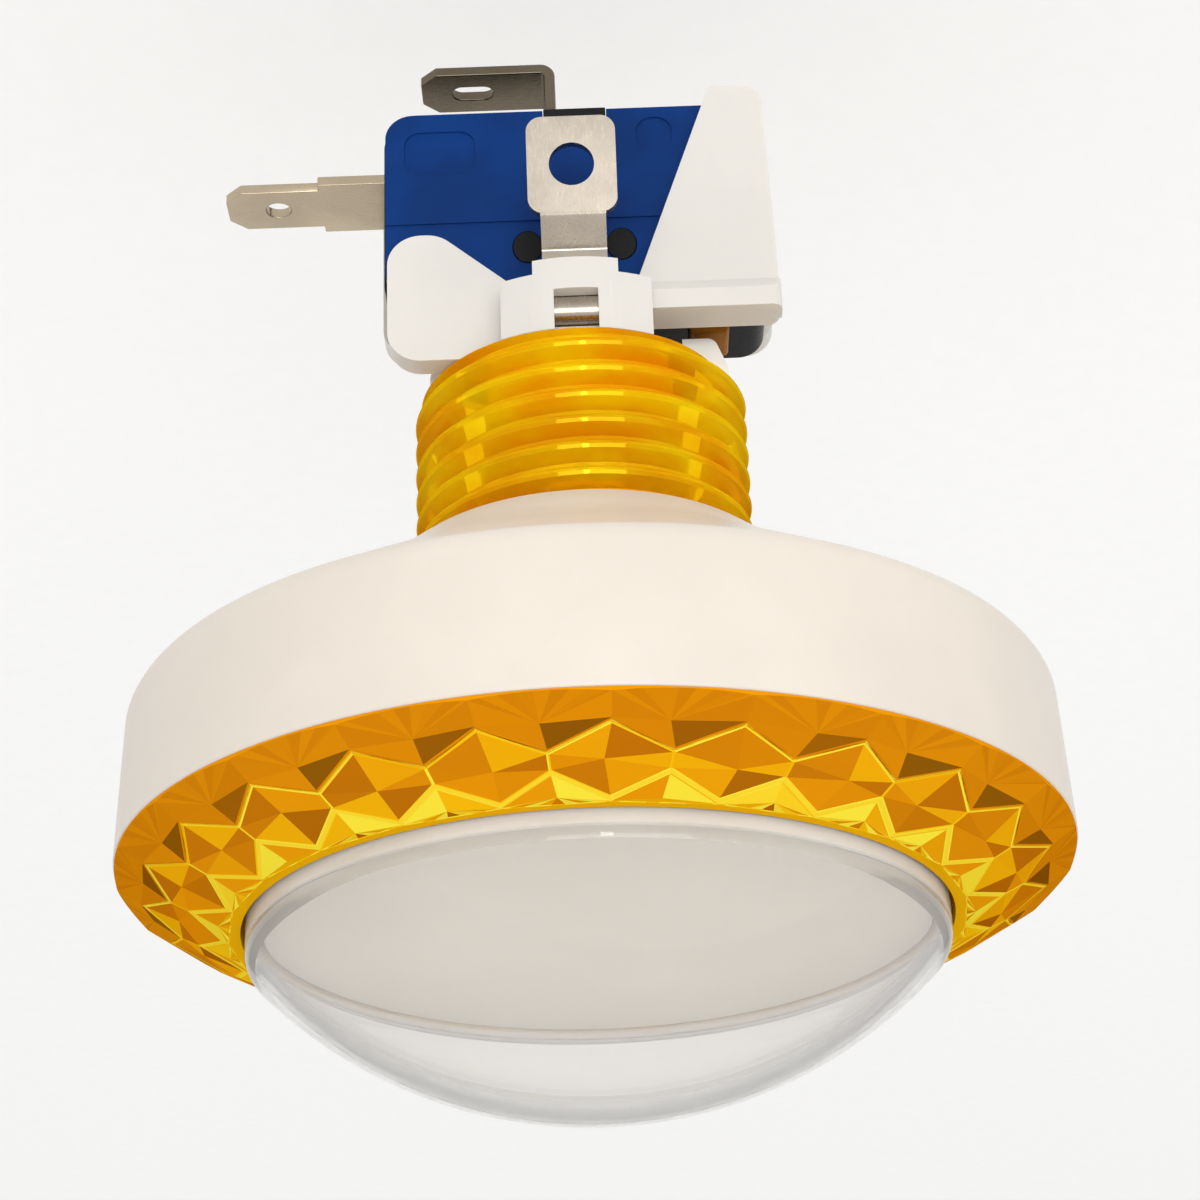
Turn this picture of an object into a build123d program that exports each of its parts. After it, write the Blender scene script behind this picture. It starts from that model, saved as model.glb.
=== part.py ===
"""Illuminated arcade push button with a clear dome and a gem-cut bezel.

Millimetres. Z = 0 is the face that seats on the panel, +Z points out of the
panel towards the dome, and the lamp and the switch hang behind it. The front
of the lamp holder faces -Y.
"""
import os
from math import atan, cos, pi, radians, sin

from build123d import *

os.makedirs("parts", exist_ok=True)

# Panel fixing
thread_radius = 11.9
barrel_length = 13.6
barrel_bore = 9.7
barrel_chamfer = 0.8
thread_pitch = 2.0
thread_depth = 1.1
thread_crest = 0.5
thread_root_flat = 0.3
thread_sink = 0.25
seat_radius = 13.2

# White cup
cup_radius = 32.0
cup_draft = 0.5
cup_front = 22.4
cup_shoulder = 11.8
shoulder_radius = 1.2
cup_wall = 2.2
collar_radius = 18.0
collar_height = 3.9
collar_fillet = 5.0
hub_wall = 2.1
fit_gap = 0.2

# Bezel and its crown
facet_count = 24
facet_phase = -2.5
crown_lip = 1.1
girdle_width = 1.7
node_share = 0.655
star_share = 0.382
apex_rise = 1.35
crown_rise = 4.05
lip_proud = 0.1
lip_blank = 0.7
cavity_radius = 23.6
cavity_wall = 1.8
cavity_floor = 13.5
floor_wall = 2.0
spigot_wall = 1.3
spigot_depth = 1.9

# Dome, disc and plunger
dome_gap = 0.3
dome_wall = 1.5
rim_proud = 1.85
dome_rise = 10.0
skirt_depth = 7.95
disc_proud = 0.45
disc_thickness = 1.0
disc_edge = 0.2
plate_thickness = 1.8
plunger_wall = 1.6
plunger_gap = 0.15
stem_gap = 0.3
stem_wall = 1.5
stem_bottom = -2.0
leg_width = 5.0
barb_lead = 0.4
barb_reach = 1.3
barb_ramp = 2.4
barb_corner = 0.8
button_travel = 2.4

# Return spring
spring_radius = 12.6
spring_wire = 0.9
spring_turns = 5
spring_gap = 0.1

# Lamp
lamp_radius = 5.0
lamp_top = 9.0
lamp_base_width = 9.2
lamp_base_thickness = 4.6
lamp_base_length = 6.5
lamp_gap = 0.1

# Lamp holder
holder_gap = 0.1
plug_depth = 5.0
plug_gap = 0.15
plug_half_width = 6.0
block_radius = 11.0
block_half_width = 5.3
block_height = 4.6
step_half_width = 3.0
step_height = 1.1
window_half_width = 1.55
window_height = 3.2
plate_wall = 1.95
plate_gap = 0.1
plate_join = 1.0
lobe_inset = 0.5
lobe_margin = 1.1
lobe_flat = 1.4
lobe_corner = 2.4
arm_top_width = 3.8
arm_corner = 1.6
arm_flare = 0.5
arm_clear = 0.6
foot_from_barrel = 3.1
foot_corner = 0.9
ledge_depth = 1.0
ledge_height = 1.5
ledge_bevel = 1.2
ledge_corner = 0.8
rear_plate_margin = 0.8
rear_plate_drop = 1.3
rear_plate_corner = 2.2
mount_pin_radius = 1.45
mount_pin_length = 2.4

# Lamp terminals
strip_thickness = 0.8
strip_slot_gap = 0.1
finger_top = -10.5
strip_run_z = -15.5
strip_y = 9.4
neck_width = 4.6
bend_radius = 0.7
joggle_from_step = 1.5
joggle_drop = 1.8
joggle_out = 1.9
tab_tilt = 12.0
lamp_tab_width = 6.3
lamp_tab_length = 7.2
lamp_tab_corner = 1.1
lamp_tab_hole = 1.6
lamp_tab_hole_from_tip = 3.6

# Switch
switch_length = 27.8
switch_height = 15.9
switch_depth = 10.3
switch_from_barrel = 6.5
switch_corner = 2.0
cover_thickness = 1.6
case_wall = 1.6
case_back_wall = 1.75
mount_hole_radius = 1.55
mount_hole_from_end = 2.8
mount_hole_from_face = 2.8
mount_boss_wall = 1.0
oval_width = 2.1
oval_height = 2.6
oval_spacing = 6.8
oval_from_face = 4.0
post_inset = 0.1
notch_span = (-2.6, 2.0)
notch_depth = 1.1
nub_size = (0.7, 2.0, 1.5)
nub_from_face = 7.0
cover_inset = 0.2
panel_depth = 0.15
panel_corner = 1.2
panel_size = (5.2, 3.7)
panel_from_end = 4.2
panel_from_rear = 3.6
small_panel_size = (2.6, 3.0)
small_panel_x = -6.1
small_panel_from_rear = 2.6
band_from_face = 6.2
pin_from_end = 4.3
pin_width = 2.8
pin_depth = 4.0
pin_proud = 1.8
pin_travel = 1.6
pin_gap = 0.06
pin_collar = 0.5
pin_collar_height = 1.0

# Switch terminals and contacts
tab_thickness = 0.8
tab_width = 4.8
root_width = 6.3
no_from_rear = 4.35
no_reach = 12.0
no_step = 5.0
no_hole_reach = 8.2
no_hole_radius = 0.95
no_inner = 6.3
tip_chamfer = 1.2
com_riser_x = 1.5
com_behind = 5.6
com_tip_from_end = 2.6
com_slot_from_tip = 3.9
com_slot_size = (3.1, 1.6)
com_run_drop = 1.2
com_anchor_from_end = 2.5
inner_width = 3.6
terminal_gap = 0.05
blade_thickness = 0.3
blade_width = 3.2
blade_tip_from_end = 2.9
contact_from_end = 4.3
contact_radius = 1.3
contact_height = 0.7
contact_gap = 1.05
blade_heel_radius = 0.45
tongue_width = 1.4
tongue_start_reach = 4.9
tongue_end_reach = 12.4
tongue_rise = 1.3
seat_gap = 0.05

# Worked-out places
barrel_end = -barrel_length
switch_face = barrel_end - switch_from_barrel
switch_rear = switch_face - switch_height
switch_front_y = -switch_depth / 2
lip_height = cup_front + crown_rise + lip_proud
rim_height = lip_height + rim_proud
dome_height = rim_height + dome_rise
skirt_bottom = lip_height - skirt_depth
disc_top = lip_height + disc_proud
dome_radius = cavity_radius - dome_gap
plunger_radius = dome_radius - dome_wall - plunger_gap
plate_top = disc_top - disc_thickness
plate_under = plate_top - plate_thickness
stem_radius = barrel_bore - stem_gap
stem_bore = stem_radius - stem_wall
pin_tip = switch_face + pin_proud
leg_tip = pin_tip + button_travel - pin_travel + holder_gap
hub_radius = thread_radius + fit_gap
half_length = switch_length / 2
pin_x = pin_from_end - half_length
no_tip_x = half_length + no_reach
no_step_x = half_length + no_step
no_hole_x = half_length + no_hole_reach
no_inner_x = half_length - no_inner
com_tip_x = half_length - com_tip_from_end
com_slot_x = com_tip_x - com_slot_from_tip
com_anchor_x = com_anchor_from_end - half_length
blade_tip_x = half_length - blade_tip_from_end
contact_x = half_length - contact_from_end
tongue_start = com_anchor_x + tongue_start_reach
tongue_end = com_anchor_x + tongue_end_reach
no_z = switch_rear + no_from_rear
com_tab_z = switch_rear - com_behind
fixed_face = no_z + tab_thickness / 2 + contact_height
blade_under = fixed_face + contact_gap + contact_height
blade_top = blade_under + blade_thickness
blade_middle = blade_under + blade_thickness / 2
com_run_z = blade_under - com_run_drop
holes = (
    (half_length - mount_hole_from_end, switch_face - mount_hole_from_face),
    (mount_hole_from_end - half_length, switch_rear + mount_hole_from_face),
)


def on_axis_box(x_min, x_max, y_min, y_max, z_min, z_max, mode=Mode.ADD):
    """A box in the current part given by its faces."""
    with Locations(((x_min + x_max) / 2, (y_min + y_max) / 2, (z_min + z_max) / 2)):
        Box(x_max - x_min, y_max - y_min, z_max - z_min, mode=mode)


def crown_planes(point, slope, offset):
    """Cutting planes round the axis, each through a point (radius, height) on its own meridian."""
    radius, height = point
    lean = atan(slope)
    planes = []
    for number in range(facet_count):
        turn = radians(facet_phase - 90) + 2 * pi * (number + offset) / facet_count
        out = Vector(cos(turn), sin(turn), 0)
        normal = out * sin(lean) + Vector(0, 0, cos(lean))
        side = Vector(-sin(turn), cos(turn), 0)
        planes.append(Plane(origin=out * radius + Vector(0, 0, height), x_dir=side, z_dir=normal))
    return planes


# Thread of the barrel: one right-hand ridge, trimmed to the barrel's length and chamfer
thread_root = thread_radius - thread_depth
thread_foot = (thread_pitch - thread_root_flat) / 2
trim_radius = thread_radius + thread_depth

with BuildPart() as thread:
    with BuildLine() as thread_path:
        Helix(
            pitch=thread_pitch,
            height=barrel_length + thread_pitch,
            radius=thread_root,
            center=(0, 0, barrel_end - thread_pitch),
        )
    with BuildSketch(
        Plane(origin=thread_path.line @ 0, x_dir=(1, 0, 0), z_dir=thread_path.line % 0)
    ):
        with BuildLine():
            Polyline(
                (-thread_sink, -thread_foot),
                (0, -thread_foot),
                (thread_depth, -thread_crest / 2),
                (thread_depth, thread_crest / 2),
                (0, thread_foot),
                (-thread_sink, thread_foot),
                close=True,
            )
        make_face()
    sweep(path=thread_path.line, is_frenet=True)
    with Locations((0, 0, barrel_end)):
        Cylinder(
            trim_radius,
            barrel_length,
            align=(Align.CENTER, Align.CENTER, Align.MIN),
            mode=Mode.INTERSECT,
        )
    with BuildSketch(Plane.XZ):
        with BuildLine():
            Polyline(
                (thread_radius - barrel_chamfer, barrel_end),
                (trim_radius, barrel_end),
                (trim_radius, barrel_end + barrel_chamfer + thread_depth),
                close=True,
            )
        make_face()
    revolve(axis=Axis.Z, mode=Mode.SUBTRACT)

# Bezel: one moulding of crown, cavity and barrel
half_pitch = cos(pi / facet_count)
bezel_radius = cup_radius - fit_gap / 2
inner_r = cavity_radius + crown_lip
inner_z = cup_front + crown_rise
apex_r = bezel_radius - girdle_width
apex_z = cup_front + apex_rise
crown_node = inner_r + node_share * (apex_r - inner_r)
star_node = inner_r + star_share * (apex_r - inner_r)
kite_slope = (inner_z - apex_z) / (apex_r - inner_r)
node_z = apex_z + kite_slope * (apex_r - crown_node * half_pitch)
girdle_slope = (node_z - apex_z) / (apex_r * half_pitch - crown_node)
star_z = apex_z + kite_slope * (apex_r - star_node * half_pitch)
star_slope = (inner_z - star_z) / (star_node - inner_r * half_pitch)
cavity_outer = cavity_radius + cavity_wall
floor_under = cavity_floor - floor_wall
spigot_radius = cup_radius - cup_draft - cup_wall - fit_gap
spigot_inner = spigot_radius - spigot_wall

with BuildPart() as bezel_body:
    with BuildSketch(Plane.XZ):
        with BuildLine():
            Polyline(
                (barrel_bore, barrel_end),
                (thread_root, barrel_end),
                (thread_root, 0),
                (thread_radius, 0),
                (thread_radius, floor_under),
                (cavity_outer, floor_under),
                (cavity_outer, cup_front),
                (spigot_inner, cup_front),
                (spigot_inner, cup_front - spigot_depth),
                (spigot_radius, cup_front - spigot_depth),
                (spigot_radius, cup_front),
                (bezel_radius, cup_front),
                (bezel_radius, apex_z),
                (inner_r, lip_height + lip_blank),
                (inner_r, lip_height),
                (cavity_radius, lip_height),
                (cavity_radius, cavity_floor),
                (barrel_bore, cavity_floor),
                close=True,
            )
        make_face()
    revolve(axis=Axis.Z)
    add(thread.part)
    rows = (
        ((apex_r * half_pitch, apex_z), girdle_slope, 0.5),
        ((apex_r, apex_z), kite_slope, 0),
        ((star_node, star_z), star_slope, 0.5),
    )
    for point, slope, offset in rows:
        with Locations(*crown_planes(point, slope, offset)):
            Box(
                crown_node / 2,
                crown_node,
                lip_height - cup_front,
                align=(Align.CENTER, Align.CENTER, Align.MIN),
                mode=Mode.SUBTRACT,
            )
bezel_body.part.label = "bezel_body"
export_step(bezel_body.part, "parts/bezel_body.step")

# Cup: a bell that stands on the panel and carries the bezel's flange
shoulder = (cup_radius - cup_draft, cup_shoulder)
with BuildPart() as cup:
    with BuildSketch(Plane.XZ) as cup_section:
        with BuildLine():
            Polyline(
                (hub_radius, 0),
                (seat_radius, 0),
                (collar_radius, collar_height),
                shoulder,
                (cup_radius, cup_front),
                (cup_radius - cup_draft - cup_wall, cup_front),
                (cup_radius - cup_draft - cup_wall, cup_shoulder + cup_wall / 2),
                (collar_radius, collar_height + cup_wall),
                (hub_radius + hub_wall, collar_height + cup_wall),
                (hub_radius + hub_wall, floor_under - fit_gap),
                (hub_radius, floor_under - fit_gap),
                close=True,
            )
        make_face()
        fillet(cup_section.vertices().sort_by_distance((*shoulder, 0))[0], shoulder_radius)
        fillet(
            cup_section.vertices().sort_by_distance((collar_radius, collar_height, 0))[0],
            collar_fillet,
        )
    revolve(axis=Axis.Z)
cup.part.label = "cup"
export_step(cup.part, "parts/cup.step")

# Dome lens: a clear cap with a straight skirt
with BuildPart() as dome_lens:
    with BuildSketch(Plane.XZ):
        with BuildLine():
            cap_rise = dome_height - rim_height
            cap_radius = (dome_radius**2 + cap_rise**2) / (2 * cap_rise)
            inner_radius = dome_radius - dome_wall
            inner_cap = cap_radius - dome_wall
            cap_centre = dome_height - cap_radius
            inner_rim = cap_centre + (inner_cap**2 - inner_radius**2) ** 0.5
            cap_lean = atan((rim_height - cap_centre) / dome_radius)
            inner_lean = atan((inner_rim - cap_centre) / inner_radius)
            wall_out = Line((dome_radius, skirt_bottom), (dome_radius, rim_height))
            middle = (cap_lean + pi / 2) / 2
            inner_middle = (inner_lean + pi / 2) / 2
            ThreePointArc(
                wall_out @ 1,
                (cap_radius * cos(middle), cap_centre + cap_radius * sin(middle)),
                (0, dome_height),
            )
            Line((0, dome_height), (0, dome_height - dome_wall))
            ThreePointArc(
                (0, dome_height - dome_wall),
                (inner_cap * cos(inner_middle), cap_centre + inner_cap * sin(inner_middle)),
                (inner_radius, inner_rim),
            )
            Polyline((inner_radius, inner_rim), (inner_radius, skirt_bottom), wall_out @ 0)
        make_face()
    revolve(axis=Axis.Z)
dome_lens.part.label = "dome_lens"
export_step(dome_lens.part, "parts/dome_lens.step")

# Legend disc: the white plate that shows through the dome
with BuildPart() as legend_disc:
    with BuildSketch(Plane.XY.offset(plate_top)):
        Circle(plunger_radius)
    extrude(amount=disc_thickness)
    chamfer(legend_disc.edges().group_by(Axis.Z)[-1], disc_edge)
legend_disc.part.label = "legend_disc"
export_step(legend_disc.part, "parts/legend_disc.step")

# Plunger: cup under the disc, tubular stem and two legs whose barbs catch under the barrel
leg_half = leg_width / 2
outer_x = (stem_radius**2 - leg_half**2) ** 0.5
bore_x = (stem_bore**2 - leg_half**2) ** 0.5
leg_middle = stem_radius - stem_wall / 2
with BuildPart() as plunger:
    with BuildSketch(Plane.XZ):
        with BuildLine():
            Polyline(
                (stem_bore, stem_bottom),
                (stem_radius, stem_bottom),
                (stem_radius, plate_under),
                (plunger_radius - plunger_wall, plate_under),
                (plunger_radius - plunger_wall, skirt_bottom),
                (plunger_radius, skirt_bottom),
                (plunger_radius, plate_top),
                (stem_bore, plate_top),
                close=True,
            )
        make_face()
    revolve(axis=Axis.Z)
    with BuildSketch(Plane.XY.offset(leg_tip)):
        with BuildLine():
            ThreePointArc((outer_x, -leg_half), (stem_radius, 0), (outer_x, leg_half))
            Line((outer_x, leg_half), (bore_x, leg_half))
            ThreePointArc((bore_x, leg_half), (stem_bore, 0), (bore_x, -leg_half))
            Line((bore_x, -leg_half), (outer_x, -leg_half))
        make_face()
        mirror(about=Plane.YZ)
    extrude(amount=stem_bottom - leg_tip)
    lead_corner = (stem_radius + barb_lead, leg_tip)
    with BuildSketch(Plane.XZ) as barb:
        with BuildLine():
            Polyline(
                (leg_middle, leg_tip),
                lead_corner,
                (stem_radius + barb_reach, leg_tip + barb_ramp),
                (stem_radius + barb_reach, barrel_end - holder_gap),
                (leg_middle, barrel_end - holder_gap),
                close=True,
            )
        make_face()
        fillet(barb.vertices().sort_by_distance((*lead_corner, 0))[0], barb_corner)
        mirror(about=Plane.YZ)
    extrude(amount=leg_half, both=True)
plunger.part.label = "plunger"
export_step(plunger.part, "parts/plunger.step")

# Return spring: between the bezel's floor and the plunger's plate
spring_low = cavity_floor + spring_gap + spring_wire / 2
spring_high = plate_under - spring_gap - spring_wire / 2
with BuildPart() as return_spring:
    with BuildLine() as coil:
        Helix(
            pitch=(spring_high - spring_low) / spring_turns,
            height=spring_high - spring_low,
            radius=spring_radius,
            center=(0, 0, spring_low),
        )
    with BuildSketch(Plane(origin=coil.line @ 0, z_dir=coil.line % 0)):
        RegularPolygon(spring_wire / 2, 8)
    sweep(path=coil.line, is_frenet=True)
return_spring.part.label = "return_spring"
export_step(return_spring.part, "parts/return_spring.step")

# Lamp: glass envelope pinched to a flat wedge base
lamp_base_top = barrel_end + plug_depth - lamp_gap
with BuildPart() as lamp:
    with BuildSketch(Plane.XZ):
        with BuildLine():
            shoulder_z = lamp_top - lamp_radius
            Polyline((0, lamp_base_top), (lamp_radius, lamp_base_top), (lamp_radius, shoulder_z))
            ThreePointArc(
                (lamp_radius, shoulder_z),
                (lamp_radius * cos(pi / 4), shoulder_z + lamp_radius * sin(pi / 4)),
                (0, lamp_top),
            )
            Line((0, lamp_top), (0, lamp_base_top))
        make_face()
    revolve(axis=Axis.Z)
    on_axis_box(
        -lamp_base_width / 2,
        lamp_base_width / 2,
        -lamp_base_thickness / 2,
        lamp_base_thickness / 2,
        lamp_base_top - lamp_base_length,
        lamp_base_top,
    )
lamp.part.label = "lamp"
export_step(lamp.part, "parts/lamp.step")

# Lamp holder: plug, block between the plunger's legs and the cradle of the switch
block_front = barrel_end - holder_gap
foot_front = barrel_end - foot_from_barrel
block_rear = block_front - block_height
step_rear = block_rear - step_height
plug_radius = barrel_bore - plug_gap
front_inner = switch_front_y - plate_gap
front_outer = front_inner - plate_wall
block_depth = block_radius + front_inner
slot_half = neck_width / 2 + strip_slot_gap
slot_reach = strip_thickness / 2 + strip_slot_gap
finger_y = lamp_base_thickness / 2 + lamp_gap + strip_thickness / 2
socket_floor = lamp_base_top - lamp_base_length - lamp_gap
plug_top = block_front + plug_depth
lobe_x, lobe_z = holes[0]
lobe_outer = half_length - lobe_inset
arm_outer = -half_length - arm_clear
rear_edge = half_length + rear_plate_margin

with BuildPart() as lamp_holder:
    with BuildSketch(Plane.XY.offset(block_front)):
        Circle(block_radius)
        Rectangle(2 * block_half_width, 2 * block_radius, mode=Mode.INTERSECT)
    extrude(amount=-block_height)
    with BuildSketch(Plane.XY.offset(block_front)):
        Circle(plug_radius)
        Rectangle(2 * plug_half_width, 2 * plug_radius, mode=Mode.INTERSECT)
    extrude(amount=plug_depth)
    # Steps beside the switch, front and rear, on the block's own radius
    for side in (-1, 1):
        with BuildSketch(Plane.XY.offset(block_rear)):
            Circle(block_radius)
            with Locations((0, side * block_radius)):
                Rectangle(2 * step_half_width, 2 * block_depth, mode=Mode.INTERSECT)
        extrude(amount=-step_height)
    # Front plates: a rounded lobe and a tapered arm
    with BuildSketch(Plane.XZ.offset(-front_inner)) as lobe:
        with BuildLine():
            Polyline(
                (block_half_width - plate_join, block_front),
                (lobe_outer, block_front),
                (lobe_outer, lobe_z - lobe_margin),
                (lobe_x - lobe_flat, lobe_z - lobe_margin),
                (block_half_width - plate_join, block_rear - step_height),
                close=True,
            )
        make_face()
        fillet(lobe.vertices().group_by(Axis.X)[-1], lobe_corner)
        fillet(lobe.vertices().group_by(Axis.Y)[0].sort_by(Axis.X)[0], lobe_corner)
    extrude(amount=plate_wall)
    with BuildSketch(Plane.XZ.offset(-front_inner)) as arm:
        with BuildLine():
            Polyline(
                (plate_join - block_half_width, foot_front),
                (arm_outer, foot_front),
                (arm_outer + arm_flare, switch_rear),
                (arm_outer + arm_flare + arm_top_width, switch_rear),
                (plate_join - block_half_width, step_rear),
                close=True,
            )
        make_face()
        fillet(arm.vertices().group_by(Axis.Y)[0].sort_by(Axis.X)[0], arm_corner)
    extrude(amount=plate_wall)
    with BuildSketch(Plane.YZ.offset(-block_half_width)):
        with BuildLine():
            Polyline(
                (front_outer + ledge_depth, foot_front),
                (front_outer - ledge_depth, foot_front),
                (front_outer - ledge_depth, foot_front - ledge_height),
                (front_outer, foot_front - ledge_height - ledge_bevel),
                (front_outer + ledge_depth, foot_front - ledge_height - ledge_bevel),
                close=True,
            )
        make_face()
    extrude(amount=block_half_width + arm_outer)
    foot_end = lamp_holder.edges().filter_by(Axis.Y).group_by(Axis.X)[0]
    fillet(foot_end.sort_by(Axis.Z)[-1], foot_corner)
    ledge_end = lamp_holder.edges().filter_by(Axis.Z).group_by(Axis.X)[0]
    fillet(ledge_end.sort_by(Axis.Y)[0], ledge_corner)
    # Rear plate with its root on the rear block
    with BuildSketch(Plane.XZ.offset(front_inner)):
        with Locations((0, (switch_face - rear_plate_drop + switch_rear) / 2)):
            RectangleRounded(2 * rear_edge, switch_height - rear_plate_drop, rear_plate_corner)
    extrude(amount=-plate_wall)
    on_axis_box(
        -block_half_width,
        block_half_width,
        -front_inner,
        plate_wall - front_inner,
        switch_face - rear_plate_drop - rear_plate_corner,
        foot_front,
    )
    # Pins that enter the switch's mounting holes from both plates
    for plane, reach in (
        (Plane.XZ.offset(-front_inner), -mount_pin_length),
        (Plane.XZ.offset(front_inner), mount_pin_length),
    ):
        with BuildSketch(plane):
            with Locations(*holes):
                Circle(mount_pin_radius)
        extrude(amount=reach)
    # Lamp socket and slots for the strips
    on_axis_box(
        -lamp_base_width / 2 - lamp_gap,
        lamp_base_width / 2 + lamp_gap,
        -lamp_base_thickness / 2 - lamp_gap,
        lamp_base_thickness / 2 + lamp_gap,
        socket_floor,
        plug_top,
        mode=Mode.SUBTRACT,
    )
    for side in (-1, 1):
        with Locations((0, side * finger_y, (strip_run_z + plug_top) / 2)):
            Box(2 * slot_half, 2 * slot_reach, plug_top - strip_run_z, mode=Mode.SUBTRACT)
        with Locations((0, side * (finger_y + strip_y) / 2, strip_run_z)):
            Box(
                2 * slot_half,
                strip_y - finger_y + 2 * slot_reach,
                2 * slot_reach,
                mode=Mode.SUBTRACT,
            )
        with Locations((0, side * strip_y, (strip_run_z + step_rear) / 2)):
            Box(2 * slot_half, 2 * slot_reach, strip_run_z - step_rear, mode=Mode.SUBTRACT)
        with Locations((0, side * (block_radius + strip_y) / 2, block_front - window_height / 2)):
            Box(
                2 * window_half_width,
                block_radius - strip_y + 2 * slot_reach,
                window_height,
                mode=Mode.SUBTRACT,
            )
lamp_holder.part.label = "lamp_holder"
export_step(lamp_holder.part, "parts/lamp_holder.step")

# Lamp terminals: one bent strip on each side, ending in a blade tab
joggle_z = step_rear - joggle_from_step
tab_root = (strip_y + joggle_out, joggle_z - joggle_drop)


def lamp_terminal(side):
    """A strip from the lamp's base out through the block and back to its tab, on one side."""
    lean = radians(tab_tilt)
    along = Vector(0, side * sin(lean), -cos(lean))
    root = Vector(0, side * tab_root[0], tab_root[1])
    shank = root + along * lamp_tab_corner
    with BuildPart() as terminal:
        with BuildSketch(Plane.YZ):
            with BuildLine():
                FilletPolyline(
                    (side * finger_y, finger_top),
                    (side * finger_y, strip_run_z),
                    (side * strip_y, strip_run_z),
                    (side * strip_y, joggle_z),
                    (root.Y, root.Z),
                    (shank.Y, shank.Z),
                    radius=bend_radius,
                )
            trace(line_width=strip_thickness)
        extrude(amount=neck_width / 2, both=True)
        middle = root + along * (lamp_tab_length / 2)
        with BuildSketch(Plane(origin=middle, x_dir=(1, 0, 0), z_dir=along.cross(Vector(1, 0, 0)))):
            RectangleRounded(lamp_tab_width, lamp_tab_length, lamp_tab_corner)
            with Locations((0, lamp_tab_length / 2 - lamp_tab_hole_from_tip)):
                Circle(lamp_tab_hole, mode=Mode.SUBTRACT)
        extrude(amount=strip_thickness / 2, both=True)
    return terminal.part


for name, side in (("lamp_terminal_front", -1), ("lamp_terminal_rear", 1)):
    strip = lamp_terminal(side)
    strip.label = name
    export_step(strip, f"parts/{name}.step")

# Switch case: black body with the cavity of the mechanism
switch_middle = (switch_face + switch_rear) / 2
joint_y = switch_front_y + cover_thickness
back_y = switch_depth / 2
cavity_back = back_y - case_back_wall
oval_z = switch_face - oval_from_face
ovals = [(side * oval_spacing / 2, oval_z) for side in (-1, 1)]
post_front = switch_front_y + post_inset
notch_min, notch_max = notch_span

with BuildPart() as switch_case:
    with BuildSketch(Plane.XZ.offset(-back_y)):
        with Locations((0, switch_middle)):
            RectangleRounded(switch_length, switch_height, switch_corner)
    extrude(amount=back_y - joint_y)
    with BuildSketch(Plane.XZ.offset(-cavity_back)):
        with Locations((0, switch_middle)):
            Rectangle(switch_length - 2 * case_wall, switch_height - 2 * case_wall)
    extrude(amount=cavity_back - joint_y, mode=Mode.SUBTRACT)
    with BuildSketch(Plane.XZ.offset(-cavity_back)):
        with Locations(*holes):
            Circle(mount_hole_radius + mount_boss_wall)
        with Locations((0, switch_middle)):
            RectangleRounded(switch_length, switch_height, switch_corner, mode=Mode.INTERSECT)
    extrude(amount=cavity_back - joint_y)
    with BuildSketch(Plane.XZ.offset(-cavity_back)):
        with Locations(*ovals):
            Ellipse(oval_width / 2, oval_height / 2)
    extrude(amount=cavity_back - post_front)
    on_axis_box(notch_min, notch_max, post_front, joint_y, switch_rear, switch_rear + notch_depth)
    nub_out, nub_deep, nub_tall = nub_size
    with Locations((-half_length, 0, switch_face - nub_from_face)):
        Box(2 * nub_out, nub_deep, nub_tall)
    # Mounting holes, pin guide and terminal slots
    with BuildSketch(Plane.XZ.offset(-back_y)):
        with Locations(*holes):
            Circle(mount_hole_radius)
    extrude(amount=back_y - joint_y, mode=Mode.SUBTRACT)
    with Locations((pin_x, 0, switch_face - case_wall / 2)):
        Box(pin_width + 2 * pin_gap, pin_depth + 2 * pin_gap, case_wall, mode=Mode.SUBTRACT)
    with Locations((half_length - case_wall / 2, 0, no_z)):
        Box(case_wall, root_width + 2 * terminal_gap, tab_thickness + 2 * terminal_gap, mode=Mode.SUBTRACT)
    with Locations((com_riser_x, 0, switch_rear + case_wall / 2)):
        Box(tab_thickness + 2 * terminal_gap, inner_width + 2 * terminal_gap, case_wall, mode=Mode.SUBTRACT)
switch_case.part.label = "switch_case"
export_step(switch_case.part, "parts/switch_case.step")

# Switch cover: blue face with shallow panels, holes and windows for the posts
with BuildPart() as switch_cover:
    with BuildSketch(Plane.XZ.offset(-joint_y)):
        with Locations((0, switch_middle)):
            RectangleRounded(
                switch_length - 2 * cover_inset, switch_height - 2 * cover_inset, switch_corner
            )
        with Locations(*holes):
            Circle(mount_hole_radius, mode=Mode.SUBTRACT)
        with Locations(*ovals):
            Ellipse(
                oval_width / 2 + terminal_gap, oval_height / 2 + terminal_gap, mode=Mode.SUBTRACT
            )
        with Locations(((notch_min + notch_max) / 2, switch_rear)):
            Rectangle(
                notch_max - notch_min + 2 * terminal_gap,
                2 * (notch_depth + terminal_gap),
                mode=Mode.SUBTRACT,
            )
    extrude(amount=cover_thickness)
    with BuildSketch(Plane.XZ.offset(-switch_front_y)):
        with Locations((half_length - panel_from_end, switch_rear + panel_from_rear)):
            RectangleRounded(*panel_size, panel_corner)
        with Locations((small_panel_x, switch_rear + small_panel_from_rear)):
            RectangleRounded(*small_panel_size, panel_corner)
        with Locations((0, switch_face - band_from_face / 2)):
            Rectangle(switch_length, band_from_face)
    extrude(amount=-panel_depth, mode=Mode.SUBTRACT)
switch_cover.part.label = "switch_cover"
export_step(switch_cover.part, "parts/switch_cover.step")

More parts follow.
